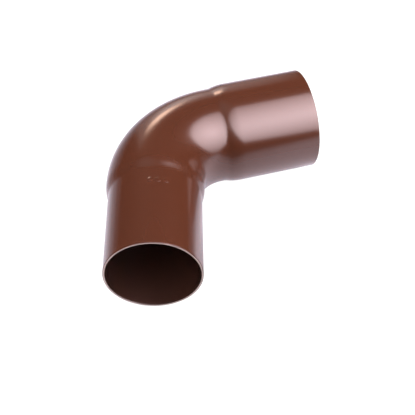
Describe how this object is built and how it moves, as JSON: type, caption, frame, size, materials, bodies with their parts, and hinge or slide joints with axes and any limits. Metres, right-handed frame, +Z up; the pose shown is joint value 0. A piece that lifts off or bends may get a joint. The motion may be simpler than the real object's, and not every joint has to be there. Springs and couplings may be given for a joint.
{
  "type": "downspout elbow",
  "caption": "Round plastic downspout elbow with a plain spigot at one end, a smooth open bend, and a flared socket that fits over the next pipe.",
  "frame": {"origin": "centre of the spigot's mouth, on the spigot's axis", "axes": "-Y points out of the spigot's mouth along its axis; the bend turns towards +X in the plane Z = 0; +Z is up with the elbow lying flat"},
  "size_m": [0.2001, 0.242, 0.0948],
  "materials": {
    "moulding": "brown, smooth and glossy"
  },
  "bodies": {
    "root": {"elbow": "moulding"}
  },
  "joints": []
}
